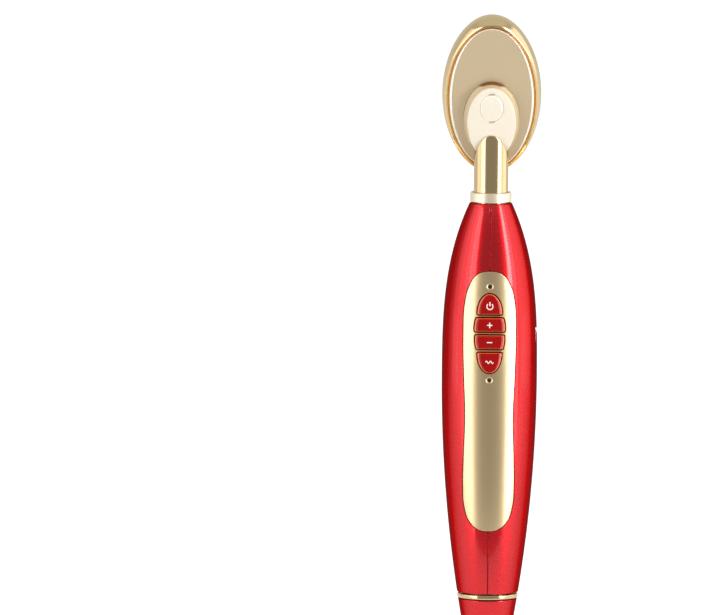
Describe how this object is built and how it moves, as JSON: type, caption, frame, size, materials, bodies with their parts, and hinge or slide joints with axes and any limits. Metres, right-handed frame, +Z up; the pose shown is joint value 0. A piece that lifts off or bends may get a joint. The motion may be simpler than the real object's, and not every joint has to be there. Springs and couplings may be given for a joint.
{
  "type": "heated eye massager",
  "caption": "Hand-held heated eye massager: tapered two-part handle with buttons, slanted neck tube and an oval warm massage head; unscrewing tail cap.",
  "frame": {"origin": "on the handle's axis at its fullest diameter, where the hand holds it", "axes": "+Z up along the handle to the head, -Y the front with the control panel, +X the side with the charging cover"},
  "size_m": [0.0286, 0.0348, 0.1924],
  "materials": {
    "red_body": "glossy metallic red lacquer",
    "red_button": "clear red, glossy",
    "panel_gold": "satin champagne gold",
    "polished_gold": "polished champagne gold plating",
    "satin_gold": "satin champagne",
    "orange_gold": "bright orange gold",
    "cream_plastic": "glossy cream",
    "tan_inlay": "soft gloss tan",
    "steel": "plain steel",
    "aluminium": "turned aluminium",
    "heater_foil": "etched foil on film",
    "circuit_board": "solder mask",
    "black_plastic": "moulded black",
    "dark_lens": "smoked clear plastic",
    "clear_plastic": "milky clear",
    "battery_wrap": "shrink wrap, plain",
    "rubber": "moulded rubber",
    "foam": "white felt pad",
    "lead_insulation": "wire insulation"
  },
  "bodies": {
    "handle": {"left_shell": "red_body", "right_shell": "red_body", "control_panel": "panel_gold", "power_switch": "steel", "plus_switch": "steel", "minus_switch": "steel", "mode_switch": "steel", "main_board": "circuit_board", "board_screw_1": "steel", "board_screw_2": "steel", "board_screw_3": "steel", "board_screw_4": "steel", "control_chip": "black_plastic", "indicator_led_upper": "clear_plastic", "indicator_led_lower": "clear_plastic", "light_pipe_upper": "dark_lens", "light_pipe_lower": "dark_lens", "charging_socket": "steel", "charge_board": "circuit_board", "cover_pin": "steel", "battery_cell": "battery_wrap", "battery_tube": "aluminium", "battery_contact": "steel", "tail_seal": "rubber", "neck_collar": "satin_gold", "neck_tube": "polished_gold", "motor_can": "steel", "motor_sleeve": "rubber", "head_back_cover": "cream_plastic", "head_inlay": "tan_inlay", "head_trim_ring": "orange_gold", "head_rim": "polished_gold", "screw_plug": "cream_plastic", "head_screw": "steel", "head_gasket": "rubber", "massage_plate": "satin_gold", "heater_film": "heater_foil", "insulation_pad": "foam", "temperature_sensor": "black_plastic", "heater_lead": "lead_insulation", "motor_lead": "lead_insulation", "battery_lead": "lead_insulation", "return_lead": "lead_insulation", "charge_lead": "lead_insulation"},
    "power_key": {"power_button": "red_button", "power_stem": "black_plastic"},
    "plus_key": {"plus_button": "red_button", "plus_stem": "black_plastic"},
    "minus_key": {"minus_button": "red_button", "minus_stem": "black_plastic"},
    "mode_key": {"mode_button": "red_button", "mode_stem": "black_plastic"},
    "charging_cover": {"socket_cover": "red_body"},
    "motor_rotor": {"motor_shaft": "steel", "eccentric_weight": "steel"},
    "tail_trim": {"tail_ring": "polished_gold"},
    "tail_end": {"tail_cap": "red_body", "tail_spring": "steel"}
  },
  "joints": [
    {"name": "power_press", "type": "slide", "parent": "handle", "child": "power_key", "axis": [0, 1, 0], "range_m": [0, 0.0004], "stiffness_N_per_m": 2000},
    {"name": "plus_press", "type": "slide", "parent": "handle", "child": "plus_key", "axis": [0, 1, 0], "range_m": [0, 0.0004], "stiffness_N_per_m": 2000},
    {"name": "minus_press", "type": "slide", "parent": "handle", "child": "minus_key", "axis": [0, 1, 0], "range_m": [0, 0.0004], "stiffness_N_per_m": 2000},
    {"name": "mode_press", "type": "slide", "parent": "handle", "child": "mode_key", "axis": [0, 1, 0], "range_m": [0, 0.0004], "stiffness_N_per_m": 2000},
    {"name": "cover_swing", "type": "hinge", "parent": "handle", "child": "charging_cover", "pos_m": [0.012, 0, 0.0122], "axis": [0, -1, 0], "range_deg": [0, 85]},
    {"name": "motor_spin", "type": "hinge", "parent": "handle", "child": "motor_rotor", "pos_m": [0, 0, 0.043], "axis": [0, 0, 1], "continuous": true},
    {"name": "tail_travel", "type": "slide", "parent": "handle", "child": "tail_trim", "axis": [0, 0, -1], "range_m": [0, 0.0091]},
    {"name": "tail_twist", "type": "hinge", "parent": "tail_trim", "child": "tail_end", "pos_m": [0, 0, -0.065], "axis": [0, 0, -1], "range_deg": [0, 1080]}
  ],
  "couplings": [
    {"joint": "tail_travel", "follows": "tail_twist", "m_per_rad": 0.00047746}
  ]
}
